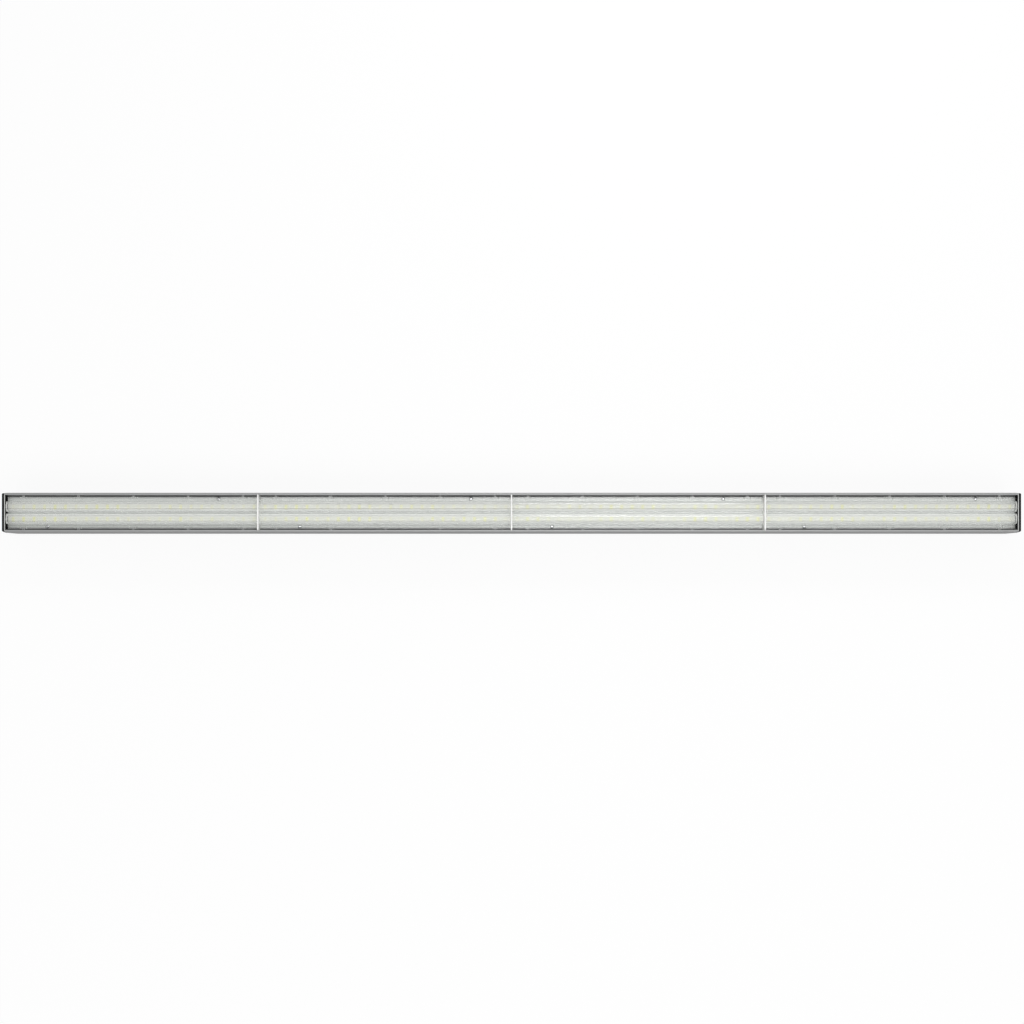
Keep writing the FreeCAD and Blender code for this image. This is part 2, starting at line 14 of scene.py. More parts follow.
import bmesh
import bpy
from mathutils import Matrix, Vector


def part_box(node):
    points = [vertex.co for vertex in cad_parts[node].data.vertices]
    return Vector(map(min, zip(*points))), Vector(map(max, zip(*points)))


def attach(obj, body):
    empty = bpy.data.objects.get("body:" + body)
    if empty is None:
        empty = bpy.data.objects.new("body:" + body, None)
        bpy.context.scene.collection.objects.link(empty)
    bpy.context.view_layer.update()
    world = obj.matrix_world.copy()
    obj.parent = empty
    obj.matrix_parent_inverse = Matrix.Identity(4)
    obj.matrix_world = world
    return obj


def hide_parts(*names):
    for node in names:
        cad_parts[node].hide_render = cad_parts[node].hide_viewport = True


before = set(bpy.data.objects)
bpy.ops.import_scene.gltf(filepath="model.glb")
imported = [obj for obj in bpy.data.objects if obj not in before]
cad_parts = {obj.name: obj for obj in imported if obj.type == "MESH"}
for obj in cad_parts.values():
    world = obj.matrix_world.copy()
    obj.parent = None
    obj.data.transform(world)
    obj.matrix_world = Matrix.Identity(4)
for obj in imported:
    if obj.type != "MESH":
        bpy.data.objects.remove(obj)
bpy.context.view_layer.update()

MM = 0.001
log = logging.getLogger("linear_light")

Colour = tuple[float, float, float]
Point = tuple[float, float, float]
Loop = list[bmesh.types.BMVert]

# What a socket takes: a plain value, or the output of another node.
Value = Union[float, tuple[float, ...], bpy.types.NodeSocket]


class Slot(Enum):
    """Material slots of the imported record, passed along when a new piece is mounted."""

    LED = "led"
    SCREW = "screw"


class End(Enum):
    """The two ends of the light, with the way each one faces along X."""

    LEFT = -1
    RIGHT = 1


class Graph:
    """A node tree that is being wired."""

    # The mix node has sockets of one name for each type of data. These are the ones for colours.
    MIX_SHARE = 0
    MIX_LOW = 6
    MIX_HIGH = 7
    MIX_RESULT = 2

    def __init__(self, tree: bpy.types.NodeTree) -> None:
        """Start from an empty tree."""
        self.tree = tree
        tree.nodes.clear()

    def give(self, socket: bpy.types.NodeSocket, value: Value) -> None:
        """Set a socket, or link it where the value is another node's output.

        Args:
            socket: input of a node.
            value: what it takes.
        """
        if isinstance(value, bpy.types.NodeSocket):
            self.tree.links.new(value, socket)
        else:
            socket.default_value = value

    def add(
        self, kind: str, inputs: dict[str | int, Value] | None = None, **settings: Any
    ) -> bpy.types.Node:
        """Add a node.

        Args:
            kind: Blender's name for the class of the node.
            inputs: values or outputs for its sockets, by name or number.
            settings: properties of the node itself.

        Returns:
            The new node.
        """
        node = self.tree.nodes.new(kind)
        for key, value in settings.items():
            setattr(node, key, value)
        for key, value in (inputs or {}).items():
            self.give(node.inputs[key], value)
        return node

    def math(self, operation: str, *values: Value) -> bpy.types.NodeSocket:
        """Work out a number from others and return the output that holds it."""
        node = self.add("ShaderNodeMath", dict(enumerate(values)), operation=operation)
        return node.outputs[0]

    def blend(self, share: Value, low: Value, high: Value) -> bpy.types.NodeSocket:
        """Mix two colours.

        Args:
            share: 0 for the low colour, 1 for the high one.
            low: first colour.
            high: second colour.

        Returns:
            The output that holds the mixed colour.
        """
        parts = {self.MIX_SHARE: share, self.MIX_LOW: low, self.MIX_HIGH: high}
        node = self.add("ShaderNodeMix", parts, data_type="RGBA")
        return node.outputs[self.MIX_RESULT]

    def overlay(self, share: Value, under: Value, over: Value) -> bpy.types.NodeSocket:
        """Lay a share of one surface over another and return the output that holds both."""
        return self.add("ShaderNodeMixShader", {0: share, 1: under, 2: over}).outputs[0]

    def remap(self, value: Value, low: Value, high: Value) -> bpy.types.NodeSocket:
        """Spread a value from 0 to 1 over a range and return the output that holds it."""
        node = self.add("ShaderNodeMapRange", {"Value": value, "To Min": low, "To Max": high})
        return node.outputs[0]

    def swing(self, noise: Value, level: Value, spread: Value) -> bpy.types.NodeSocket:
        """Let a noise from 0 to 1 move a level by its spread and return the output that holds it."""
        return self.remap(noise, self.math("SUBTRACT", level, spread), self.math("ADD", level, spread))

    def ramp(self, value: Value, start: float, end: float) -> bpy.types.NodeSocket:
        """Rise softly from 0 to 1.

        Args:
            value: what the rise follows.
            start: where it is 0.
            end: where it is 1.

        Returns:
            The output that holds the risen value.
        """
        limits = {"Value": value, "From Min": start, "From Max": end}
        node = self.add("ShaderNodeMapRange", limits, interpolation_type="SMOOTHSTEP")
        return node.outputs[0]

    def noise(self, spot: Value, scale: Value, detail: float) -> bpy.types.NodeSocket:
        """Add a noise from 0 to 1 and return the output that holds it."""
        return self.add("ShaderNodeTexNoise", {"Vector": spot, "Scale": scale, "Detail": detail}).outputs[0]

    def spot(self) -> bpy.types.NodeSocket:
        """Return the output that holds the spot on the part, in its own frame."""
        return self.add("ShaderNodeTexCoord").outputs["Object"]

    def place(self, axis: str) -> bpy.types.NodeSocket:
        """Return the output that holds the place along an axis of the part's own frame."""
        return self.add("ShaderNodeSeparateXYZ", {0: self.spot()}).outputs[axis]

    def facing(self, axis: str) -> bpy.types.NodeSocket:
        """Return the output that tells how squarely a surface faces along an axis, from 0 to 1."""
        normal = self.add("ShaderNodeNewGeometry").outputs["Normal"]
        return self.math("ABSOLUTE", self.add("ShaderNodeSeparateXYZ", {0: normal}).outputs[axis])


class Group(Graph):
    """A node group that is being wired, from its own inputs to its own outputs."""

    def __init__(self, name: str, kind: str, inputs: dict[str, str], outputs: dict[str, str]) -> None:
        """Open a new group.

        Args:
            name: name of the group.
            kind: Blender's name for the class of its tree.
            inputs: its inputs, each with its kind.
            outputs: its outputs, each with its kind.
        """
        super().__init__(bpy.data.node_groups.new(name, kind))
        for way, sockets in (("INPUT", inputs), ("OUTPUT", outputs)):
            for key, socket in sockets.items():
                self.tree.interface.new_socket(key, in_out=way, socket_type=socket)
        self.taken = self.add("NodeGroupInput")
        self.given = self.add("NodeGroupOutput")

    def take(self, key: str) -> bpy.types.NodeSocket:
        """Return the output that holds one of the group's own inputs."""
        return self.taken.outputs[key]

    def hand_out(self, key: str, value: Value) -> None:
        """Link a value to one of the group's own outputs."""
        self.give(self.given.inputs[key], value)


def opaque(colour: Colour) -> tuple[float, float, float, float]:
    """Colour with full cover, as a socket wants it."""
    return (*colour, 1.0)


class Effects:
    """Shader node groups that the finishes share. Each varies a colour, a roughness and a height."""

    GRAIN = "moulded grain"
    # Width of a cloud of tone in grains, and how finely clouds and grains are broken up.
    CLOUD_GRAINS = 9.0
    CLOUD_DETAIL = 4.0
    GRAIN_DETAIL = 2.0

    STREAKS = "drawn streaks"
    # How close the streaks of tone and of gloss lie, and how finely both are broken up.
    BROAD_SCALE = 0.4
    FINE_SCALE = 2.0
    STREAK_DETAIL = 3.0

    @staticmethod
    def open(name: str, *sizes: str) -> Group:
        """Open an effect.

        Args:
            name: name of its group.
            sizes: names of the inputs that size its pattern.

        Returns:
            The group, with the inputs and outputs that every effect has.
        """
        colour = "NodeSocketColor"
        number = "NodeSocketFloat"
        numbers = ("Tone Spread", "Roughness", "Gloss Spread", *sizes)
        inputs = {"Colour": colour} | dict.fromkeys(numbers, number)
        outputs = {"Colour": colour, "Roughness": number, "Height": number}
        return Group(name, "ShaderNodeTree", inputs, outputs)

    @staticmethod
    def finish(group: Group, broad: bpy.types.NodeSocket, fine: bpy.types.NodeSocket) -> bpy.types.NodeTree:
        """Turn two noises into the colour, roughness and height of an effect.

        Args:
            group: group of the effect.
            broad: noise from 0 to 1 for the tone.
            fine: noise from 0 to 1 for the gloss and the height.

        Returns:
            The tree of the effect.
        """
        tone = group.swing(broad, 1.0, group.take("Tone Spread"))
        parts = {0: group.take("Colour"), "Scale": tone}
        group.hand_out("Colour", group.add("ShaderNodeVectorMath", parts, operation="SCALE").outputs[0])
        group.hand_out("Roughness", group.swing(fine, group.take("Roughness"), group.take("Gloss Spread")))
        group.hand_out("Height", fine)
        return group.tree

    @classmethod
    def grain(cls) -> bpy.types.NodeTree:
        """Even grain of a moulded surface, with a cloudy tone that is several grains wide.

        Returns:
            The tree of the effect, the same one at every call.
        """
        found = bpy.data.node_groups.get(cls.GRAIN)
        if found:
            return found
        group = cls.open(cls.GRAIN, "Size")
        spot = group.spot()
        scale = group.math("DIVIDE", 1.0, group.take("Size"))
        broad = group.noise(spot, group.math("DIVIDE", scale, cls.CLOUD_GRAINS), cls.CLOUD_DETAIL)
        fine = group.noise(spot, scale, cls.GRAIN_DETAIL)
        return cls.finish(group, broad, fine)

    @classmethod
    def streaks(cls) -> bpy.types.NodeTree:
        """Fine lines along X, as drawing and extruding leave them.

        Returns:
            The tree of the effect, the same one at every call.
        """
        found = bpy.data.node_groups.get(cls.STREAKS)
        if found:
            return found
        group = cls.open(cls.STREAKS, "Width", "Length")
        across = group.math("DIVIDE", 1.0, group.take("Width"))
        along = group.math("DIVIDE", 1.0, group.take("Length"))
        pitch = group.add("ShaderNodeCombineXYZ", {"X": along, "Y": across, "Z": across}).outputs[0]
        spot = group.spot()
        drawn = group.add("ShaderNodeVectorMath", {0: spot, 1: pitch}, operation="MULTIPLY").outputs[0]
        broad = group.noise(drawn, cls.BROAD_SCALE, cls.STREAK_DETAIL)
        fine = group.noise(drawn, cls.FINE_SCALE, cls.STREAK_DETAIL)
        return cls.finish(group, broad, fine)


@dataclass(frozen=True)
class Finish:
    """How a surface looks. Each kind of finish wires its own shader."""

    name: str
    colour: Colour

    def material(self) -> bpy.types.Material:
        """Build the material at its first use.

        Returns:
            The material, the same one at every call.
        """
        found = bpy.data.materials.get(self.name)
        if found:
            return found
        material = bpy.data.materials.new(self.name)
        material.use_nodes = True
        graph = Graph(material.node_tree)
        graph.add("ShaderNodeOutputMaterial", {"Surface": self.shade(graph)})
        return material

    def shade(self, graph: Graph) -> bpy.types.NodeSocket:
        """Wire the finish into a material's graph and return the output that goes to the surface."""
        raise NotImplementedError

    def let_through(self, graph: Graph, solid: bpy.types.NodeSocket, share: float) -> bpy.types.NodeSocket:
        """Let lamps and soft light pass the surface, so that it does not shade what lies behind it.

        Args:
            graph: graph of the material.
            solid: output of the surface as it looks.
            share: how much of the light passes.

        Returns:
            The output that goes to the surface.
        """
        rays = graph.add("ShaderNodeLightPath").outputs
        light = graph.math("MAXIMUM", rays["Is Shadow Ray"], rays["Is Diffuse Ray"])
        through = graph.add("ShaderNodeBsdfTransparent", {"Color": opaque(self.colour)})
        return graph.overlay(graph.math("MULTIPLY", light, share), solid, through.outputs[0])


@dataclass(frozen=True)
class Textured(Finish):
    """Surface with one of the shared effects on it."""

    roughness: float
    tone_spread: float = 0.05
    gloss_spread: float = 0.08
    depth: float = 0.004 * MM
    metal: float = 0.0
    sheen: float = 0.5

    def wear(
        self, graph: Graph, effect: bpy.types.NodeTree, sizes: dict[str, float]
    ) -> tuple[bpy.types.Node, bpy.types.NodeSocket]:
        """Put an effect on a new shader.

        Args:
            graph: graph of the material.
            effect: tree of the effect.
            sizes: sizes of its pattern, by the names of its inputs.

        Returns:
            The shader, and the output that holds its varied colour.
        """
        plain = {"Metallic": self.metal, "Specular IOR Level": self.sheen}
        shader = graph.add("ShaderNodeBsdfPrincipled", plain)
        levels = {
            "Colour": opaque(self.colour),
            "Tone Spread": self.tone_spread,
            "Roughness": self.roughness,
            "Gloss Spread": self.gloss_spread,
        }
        worn = graph.add("ShaderNodeGroup", levels | sizes, node_tree=effect).outputs
        graph.give(shader.inputs["Base Color"], worn["Colour"])
        graph.give(shader.inputs["Roughness"], worn["Roughness"])
        bumps = {"Strength": 1.0, "Distance": self.depth, "Height": worn["Height"]}
        graph.give(shader.inputs["Normal"], graph.add("ShaderNodeBump", bumps).outputs[0])
        return shader, worn["Colour"]


@dataclass(frozen=True)
class Grained(Textured):
    """Surface with a fine, even grain."""

    grain: float = 0.6 * MM

    def grained(self, graph: Graph) -> tuple[bpy.types.Node, bpy.types.NodeSocket]:
        """Put the grain on a new shader and return that with the output that holds its colour."""
        return self.wear(graph, Effects.grain(), {"Size": self.grain})

    def shade(self, graph: Graph) -> bpy.types.NodeSocket:
        """Wire the grain alone and return the shader's output."""
        return self.grained(graph)[0].outputs[0]


@dataclass(frozen=True)
class Moulded(Grained):
    """Plastic or rubber with the fine grain of its mould."""

    depth: float = 0.01 * MM


@dataclass(frozen=True)
class Milky(Moulded):
    """White plastic or silicone that lets part of the light through."""

    passes: float = 0.8

    def shade(self, graph: Graph) -> bpy.types.NodeSocket:
        """Wire the grain, let light through it and return the output."""
        return self.let_through(graph, super().shade(graph), self.passes)


@dataclass(frozen=True)
class Plated(Grained):
    """Plated metal with a slightly cloudy gloss."""

    depth: float = 0.003 * MM
    metal: float = 1.0
    grain: float = 0.5 * MM


@dataclass(frozen=True)
class Streaked(Textured):
    """Surface with fine streaks along the light."""

    width: float = 0.8 * MM
    length: float = 300 * MM

    def streaked(self, graph: Graph) -> tuple[bpy.types.Node, bpy.types.NodeSocket]:
        """Put the streaks on a new shader and return that with the output that holds its colour."""
        return self.wear(graph, Effects.streaks(), {"Width": self.width, "Length": self.length})


@dataclass(frozen=True)
class Drawn(Streaked):
    """Drawn metal, whose flanks may carry painted shade: a darker colour, with less metal and less sheen.

    Metal and painted shade fade from face to flanks by how squarely the surface looks along Y.
    """

    metal: float = 1.0
    # Colour of the flanks: painted shade on the outer and inner walls that face along Y.
    flank_shade: Colour | None = None
    flank_from: float = 0.6
    flank_to: float = 0.9
    flank_metal: float = 0.1
    flank_sheen: float = 0.1

    def shade(self, graph: Graph) -> bpy.types.NodeSocket:
        """Wire streaked metal and paint shade on its flanks.

        Args:
            graph: graph of the material.

        Returns:
            The output that goes to the surface.
        """
        shader, face = self.streaked(graph)
        if self.flank_shade:
            # Painted shade: walls that face along Y take the darker flank colour.
            side = graph.ramp(graph.facing("Y"), self.flank_from, self.flank_to)
            graph.give(shader.inputs["Base Color"], graph.blend(side, face, opaque(self.flank_shade)))
            graph.give(shader.inputs["Metallic"], graph.remap(side, self.metal, self.flank_metal))
            graph.give(shader.inputs["Specular IOR Level"], self.flank_sheen)
        return shader.outputs[0]


@dataclass(frozen=True)
class ShadeLine:
    """A painted shade line along a lens, for a dark line that its bars show by refraction: its place across
    the light, half its width and its strength.
    """

    place: float
    reach: float
    share: float


@dataclass(frozen=True)
class Clear(Streaked):
    """Clear moulded plastic of twin bars, with painted shade lines along them, painted shade on their steep
    walls and frosted sawn ends.

    A face counts as sawn or as a steep wall by how squarely it looks along X or Y. Shade lines are painted
    only above the level of the lens plate, and shade on steep walls only as far from the middle as the bars
    reach.
    """

    depth: float = 0.0002 * MM
    width: float = 3 * MM
    length: float = 900 * MM
    index: float = 1.49
    clarity: float = 0.84
    passes: float = 1.0
    sawn_colour: Colour = (0.95, 0.95, 0.94)
    sawn_share: float = 0.85
    sawn_from: float = 0.9
    bars_to: float = 15.5 * MM
    plate_level: float = 44.5 * MM
    # Painted shade on the steep walls of the bars, which refraction shows dark.
    steep_shade: Colour = (0.63, 0.64, 0.63)
    steep_from: float = 0.85
    steep_to: float = 0.98
    # Colour and places of the painted shade lines, which stand in for the dark lines that the bars refract.
    line_shade: Colour = (0.42, 0.425, 0.42)
    lines: tuple[ShadeLine, ...] = (
        ShadeLine(13.45 * MM, 0.8 * MM, 0.5),
        ShadeLine(4.55 * MM, 0.75 * MM, 1.0),
        ShadeLine(0.25 * MM, 0.8 * MM, 0.8),
        ShadeLine(-0.7 * MM, 1.2 * MM, 1.0),
        ShadeLine(-4.05 * MM, 0.6 * MM, 0.35),
        ShadeLine(-7.4 * MM, 3.4 * MM, 0.1),
        ShadeLine(-9.95 * MM, 0.75 * MM, 1.0),
        ShadeLine(-14.8 * MM, 1.2 * MM, 0.85),
    )

    def lined(self, graph: Graph) -> Value:
        """Mask the painted shade lines along the lens.

        Args:
            graph: graph of the material.

        Returns:
            The output that holds the mask.
        """
        across = graph.place("Y")
        mask: Value = 0.0
        for line in self.lines:
            beside = graph.math("ABSOLUTE", graph.math("SUBTRACT", across, line.place))
            strength = graph.math("MULTIPLY", graph.ramp(beside, line.reach, 0.0), line.share)
            mask = graph.math("MAXIMUM", mask, strength)
        return mask

    def shade(self, graph: Graph) -> bpy.types.NodeSocket:
        """Wire clear plastic, paint shade on its lines and on the steep walls of its bars, and frost its
        sawn ends.

        Args:
            graph: graph of the material.

        Returns:
            The output that goes to the surface.
        """
        shader, plain = self.streaked(graph)
        graph.give(shader.inputs["Transmission Weight"], self.clarity)
        graph.give(shader.inputs["IOR"], self.index)
        # Painted shade: dark lines above the lens plate, and darker steep walls within the bars.
        upper = graph.math("GREATER_THAN", graph.place("Z"), self.plate_level)
        lined = graph.math("MULTIPLY", upper, self.lined(graph))
        face = graph.blend(lined, plain, opaque(self.line_shade))
        inside = graph.math("LESS_THAN", graph.math("ABSOLUTE", graph.place("Y")), self.bars_to)
        wall = graph.ramp(graph.facing("Y"), self.steep_from, self.steep_to)
        steep = graph.math("MULTIPLY", wall, inside)
        graph.give(shader.inputs["Base Color"], graph.blend(steep, face, opaque(self.steep_shade)))
        sawn = graph.math("GREATER_THAN", graph.facing("X"), self.sawn_from)
        frosted = graph.add("ShaderNodeBsdfDiffuse", {"Color": opaque(self.sawn_colour)})
        share = graph.math("MULTIPLY", sawn, self.sawn_share)
        solid = graph.overlay(share, shader.outputs[0], frosted.outputs[0])
        return self.let_through(graph, solid, self.passes)


@dataclass(frozen=True)
class SolderMask(Grained):
    """White lacquer over copper fields with faint gaps, painted yellow light by the LED rows, painted shade
    at its edges.
    """

    grain: float = 0.8 * MM
    field_length: float = 12.4 * MM
    field_width: float = 14.8 * MM
    gap: float = 0.35 * MM
    gap_softness: float = 0.4
    gap_colour: Colour = (0.70, 0.71, 0.68)
    # Painted yellow light along each LED row, fading out over its reach.
    row_place: float = 7.25 * MM
    row_light_reach: float = 3.2 * MM
    row_light_colour: Colour = (0.79, 0.79, 0.68)
    # Painted shade that darkens the board towards the rims.
    edge_shade_from: float = 15.6 * MM
    edge_shade_to: float = 19.0 * MM
    edge_shade_colour: Colour = (0.30, 0.30, 0.30)

    def shade(self, graph: Graph) -> bpy.types.NodeSocket:
        """Wire the lacquer, with the copper fields under it, painted yellow light by the rows and painted
        shade at the edges.

        Args:
            graph: graph of the material.

        Returns:
            The output that goes to the surface.
        """
        shader, plain = self.grained(graph)
        fields = graph.add(
            "ShaderNodeTexBrick",
            {
                "Vector": graph.spot(),
                "Color1": plain,
                "Color2": plain,
                "Mortar": opaque(self.gap_colour),
                "Scale": 1.0,
                "Mortar Size": self.gap,
                "Mortar Smooth": self.gap_softness,
                "Brick Width": self.field_length,
                "Row Height": self.field_width,
            },
            offset=0.0,
        )
        # Painted yellow light along the LED rows, then painted shade that darkens the board towards the
        # rims.
        out = graph.math("ABSOLUTE", graph.place("Y"))
        beside = graph.math("ABSOLUTE", graph.math("SUBTRACT", out, self.row_place))
        row_light = graph.ramp(beside, self.row_light_reach, 0.0)
        lit = graph.blend(row_light, fields.outputs["Color"], opaque(self.row_light_colour))
        edge_shade = graph.ramp(out, self.edge_shade_from, self.edge_shade_to)
        graph.give(shader.inputs["Base Color"], graph.blend(edge_shade, lit, opaque(self.edge_shade_colour)))
        return shader.outputs[0]


@dataclass(frozen=True)
class LedFace(Grained):
    """White LED package whose window holds yellow phosphor, paler on some packages than on others."""

    grain: float = 0.25 * MM
    mark: str = "window"
    batch: float = 34 * MM
    batch_detail: float = 2.0
    pale: Colour = (0.80, 0.79, 0.62)
    pale_to: float = 0.35
    phosphor: Colour = (0.85, 0.84, 0.33)
    phosphor_from: float = 0.65

    def shade(self, graph: Graph) -> bpy.types.NodeSocket:
        """Wire the package and the phosphor in its marked window.

        Args:
            graph: graph of the material.

        Returns:
            The output that goes to the surface.
        """
        shader, plain = self.grained(graph)
        batch = graph.noise(graph.spot(), 1.0 / self.batch, self.batch_detail)
        strong = graph.ramp(batch, self.pale_to, self.phosphor_from)
        filled = graph.blend(strong, opaque(self.pale), opaque(self.phosphor))
        window = graph.add("ShaderNodeAttribute", attribute_name=self.mark).outputs["Fac"]
        graph.give(shader.inputs["Base Color"], graph.blend(window, plain, filled))
        return shader.outputs[0]


@dataclass(frozen=True)
class TwinWire(Grained):
    """Insulated leads, one colour on each side of the middle."""

    grain: float = 0.4 * MM
    other: Colour = (0.02, 0.02, 0.02)

    def shade(self, graph: Graph) -> bpy.types.NodeSocket:
        """Wire the insulation and colour each lead by its side.

        Args:
            graph: graph of the material.

        Returns:
            The output that goes to the surface.
        """
        shader, plain = self.grained(graph)
        side = graph.math("GREATER_THAN", graph.place("Y"), 0.0)
        graph.give(shader.inputs["Base Color"], graph.blend(side, plain, opaque(self.other)))
        return shader.outputs[0]


@dataclass(frozen=True)
class Backdrop(Finish):
    """Paper that shows white to the camera, in metal and through glass, and keeps a soft shadow."""

    glow: float = 0.90

    def shade(self, graph: Graph) -> bpy.types.NodeSocket:
        """Wire the paper and its glow.

        Args:
            graph: graph of the material.

        Returns:
            The output that goes to the surface.
        """
        paper = graph.add("ShaderNodeBsdfDiffuse", {"Color": opaque(self.colour)})
        rays = graph.add("ShaderNodeLightPath").outputs
        seen = graph.math("MAXIMUM", rays["Is Camera Ray"], rays["Is Glossy Ray"])
        seen = graph.math("MAXIMUM", seen, rays["Is Transmission Ray"])
        white = graph.add("ShaderNodeEmission", {"Strength": 1.0})
        return graph.overlay(graph.math("MULTIPLY", seen, self.glow), paper.outputs[0], white.outputs[0])


class Palette:
    """The finishes of this light, each with its name, colour and roughness, and the paper of the floor."""

    # The flank colour below is painted shade on the walls of the extrusion that face along Y.
    EXTRUSION = Drawn(
        "satin anodised aluminium", (0.42, 0.425, 0.425), 0.50, tone_spread=0.06, flank_shade=(0.22, 0.223, 0.223)
    )
    TRAY = Drawn(
        "plain aluminium sheet",
        (0.66, 0.67, 0.68),
        0.42,
        gloss_spread=0.10,
        width=1.5 * MM,
        length=120 * MM,
    )
    CLEAR = Clear("clear acrylic", (0.985, 0.992, 0.985), 0.15, tone_spread=0.006, gloss_spread=0.01)
    BOARD = SolderMask("white solder mask", (0.78, 0.79, 0.77), 0.42, tone_spread=0.012)
    LED = LedFace("led package", (0.88, 0.88, 0.84), 0.45)
    STRIP = Milky("white joint strip", (0.95, 0.95, 0.94), 0.30, tone_spread=0.02)
    CAP = Moulded(
        "black end cap",
        (0.008, 0.008, 0.009),
        0.60,
        tone_spread=0.15,
        gloss_spread=0.10,
        depth=0.02 * MM,
        sheen=0.05,
        grain=0.5 * MM,
    )
    GASKET = Milky("silicone seal", (0.70, 0.71, 0.70), 0.45)
    RUBBER = Moulded("black rubber", (0.03, 0.03, 0.03), 0.65, tone_spread=0.2)
    SCREW = Plated("zinc plated steel", (0.82, 0.83, 0.84), 0.18, tone_spread=0.08)
    STRAP = Plated("tinned copper", (0.72, 0.71, 0.69), 0.34, tone_spread=0.08, gloss_spread=0.12)
    DRIVER = Moulded(
        "white driver case", (0.78, 0.79, 0.78), 0.46, tone_spread=0.03, depth=0.015 * MM, grain=0.7 * MM
    )
    TERMINAL = Moulded("grey terminal", (0.42, 0.43, 0.44), 0.42)
    PLUG = Moulded("white feed plug", (0.82, 0.82, 0.80), 0.40, tone_spread=0.04)
    LEAD = TwinWire("twin leads", (0.50, 0.05, 0.04), 0.40, tone_spread=0.06)
    FLOOR = Backdrop("studio floor", (0.92, 0.92, 0.92))


def show(item: bpy.types.Object) -> None:
    """Bring an object into the scene."""
    bpy.context.scene.collection.objects.link(item)


def dress(node: str, finish: Finish) -> None:
    """Give a node of the solid model its finish.

    Args:
        node: name of the node.
        finish: how it looks.
    """
    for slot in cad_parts[node].material_slots:
        slot.material = finish.material()
    log.info("dressed %s in %s", node, finish.name)


def mount_piece(name: str, mesh: bpy.types.Mesh, slot: Slot, *nodes: str) -> None:
    """Bring a finished mesh into the scene as a piece of the light.

    Args:
        name: name of the piece.
        mesh: its mesh, in place and with its material.
        slot: material slot of the record that it belongs to; not used.
        nodes: nodes of the solid model that it stands for.
    """
    piece = bpy.data.objects.new(name, mesh)
    show(piece)
    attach(piece, "root")
    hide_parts(*nodes)
    log.info("built %s with %d faces", name, len(mesh.polygons))


def around(loop: Loop) -> list[tuple[bmesh.types.BMVert, bmesh.types.BMVert]]:
    """Pair each vertex of a closed loop with the next one."""
    return list(zip(loop, loop[1:] + loop[:1]))


def band(mesh: bmesh.types.BMesh, low: Loop, high: Loop) -> None:
    """Join two closed loops of vertices with a band of faces.

    Args:
        mesh: mesh to add to.
        low: loop that the band starts from.
        high: loop that it ends at, with as many vertices.
    """
    for (here, after), (above, beyond) in zip(around(low), around(high)):
        mesh.faces.new((here, after, beyond, above))


@dataclass(frozen=True)
class Recess:
    """Cross recess in the head of a screw, narrower at its floor."""

    arm: float
    width: float
    depth: float
    taper: float = 0.7

    def outline(self, mesh: bmesh.types.BMesh, height: float, shrink: float) -> Loop:
        """Add the outline of the cross.

        Args:
            mesh: mesh to add to.
            height: where the outline lies.
            shrink: factor on its size.

        Returns:
            The vertices of the outline, in order.
        """
        long = self.arm * shrink
        half = self.width / 2 * shrink
        quarter = [(long, -half), (long, half), (half, half)]
        outline = []
        for _ in range(4):
            outline += [mesh.verts.new((x, y, height)) for x, y in quarter]
            quarter = [(-y, x) for x, y in quarter]
        return outline


@dataclass(frozen=True)
class CrossScrew:
    """Screw about Z, given by radii and heights from its tip to the flat top that holds its recess."""

    name: str
    profile: Sequence[tuple[float, float]]
    recess: Recess
    steps: int = 24
    crease: float = math.radians(35)

    def ring(self, mesh: bmesh.types.BMesh, radius: float, height: float) -> Loop:
        """Add a ring of vertices.

        Args:
            mesh: mesh to add to.
            radius: radius of the ring.
            height: where it lies.

        Returns:
            The vertices of the ring, in order.
        """
        ring = []
        for step in range(self.steps):
            turn = math.tau * step / self.steps
            ring.append(mesh.verts.new((radius * math.cos(turn), radius * math.sin(turn), height)))
        return ring

    def build(self) -> bpy.types.Object:
        """Build one screw as a pattern to repeat.

        Returns:
            The pattern, not yet part of the scene.
        """
        mesh = bmesh.new()
        rings = [self.ring(mesh, radius, height) for radius, height in self.profile]
        mesh.faces.new(rings[0][::-1])
        for low, high in zip(rings, rings[1:]):
            band(mesh, low, high)
        top = self.profile[-1][1]
        mouth = self.recess.outline(mesh, top, 1.0)
        floor = self.recess.outline(mesh, top - self.recess.depth, self.recess.taper)
        band(mesh, floor, mouth)
        mesh.faces.new(floor)
        edges = [mesh.edges.get(pair) for loop in (rings[-1], mouth) for pair in around(loop)]
        bmesh.ops.triangle_fill(mesh, use_beauty=True, use_dissolve=False, edges=edges, normal=(0, 0, 1))
        bmesh.ops.recalc_face_normals(mesh, faces=mesh.faces)
        data = bpy.data.meshes.new(self.name)
        mesh.to_mesh(data)
        mesh.free()
        data.shade_smooth()
        data.set_sharp_from_angle(angle=self.crease)
        return bpy.data.objects.new(self.name, data)


